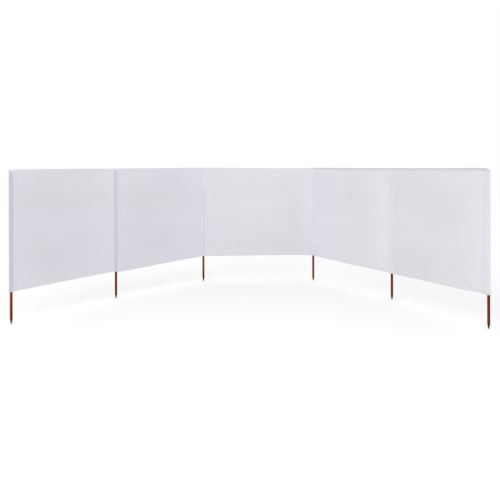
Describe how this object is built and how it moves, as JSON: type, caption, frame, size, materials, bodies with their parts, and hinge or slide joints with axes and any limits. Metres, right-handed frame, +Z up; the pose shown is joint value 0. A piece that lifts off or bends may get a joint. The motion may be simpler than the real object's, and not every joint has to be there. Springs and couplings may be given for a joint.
{
  "type": "beach windbreak",
  "caption": "Cloth windbreak of linked bays stretched between pointed wooden poles in sewn pockets, which folds at the poles and is pushed into sand.",
  "frame": {"origin": "the blunt tip of pole 3, the left pole of the middle bay", "axes": "+X along the middle bay from pole 3 to pole 4, +Z up the poles; the outer bays come round towards -Y"},
  "size_m": [3.6748, 2.1232, 1.2],
  "materials": {
    "pole_wood": "stained, satin",
    "cloth": "plain weave, matt"
  },
  "bodies": {
    "middle_bay": {"cloth_3": "cloth", "top_hem_3": "cloth", "bottom_hem_3": "cloth", "pole_3": "pole_wood", "pocket_3": "cloth", "pole_4": "pole_wood", "pocket_4": "cloth"},
    "left_inner_bay": {"cloth_2": "cloth", "top_hem_2": "cloth", "bottom_hem_2": "cloth", "pole_2": "pole_wood", "pocket_2": "cloth"},
    "left_outer_bay": {"cloth_1": "cloth", "top_hem_1": "cloth", "bottom_hem_1": "cloth", "pole_1": "pole_wood", "pocket_1": "cloth"},
    "right_inner_bay": {"cloth_4": "cloth", "top_hem_4": "cloth", "bottom_hem_4": "cloth", "pole_5": "pole_wood", "pocket_5": "cloth"},
    "right_outer_bay": {"cloth_5": "cloth", "top_hem_5": "cloth", "bottom_hem_5": "cloth", "pole_6": "pole_wood", "pocket_6": "cloth"}
  },
  "joints": [
    {"name": "fold_at_pole_3", "type": "hinge", "parent": "middle_bay", "child": "left_inner_bay", "pos_m": [0, 0, 0.725], "axis": [0, 0, 1], "range_deg": [-118, 22]},
    {"name": "fold_at_pole_2", "type": "hinge", "parent": "left_inner_bay", "child": "left_outer_bay", "pos_m": [-0.78288, -0.86948, 0.725], "axis": [0, 0, 1], "range_deg": [-78, 62]},
    {"name": "fold_at_pole_4", "type": "hinge", "parent": "middle_bay", "child": "right_inner_bay", "pos_m": [1.17, 0, 0.725], "axis": [0, 0, -1], "range_deg": [-130, 10]},
    {"name": "fold_at_pole_5", "type": "hinge", "parent": "right_inner_bay", "child": "right_outer_bay", "pos_m": [1.755, -1.01325, 0.725], "axis": [0, 0, -1], "range_deg": [-77, 63]}
  ]
}
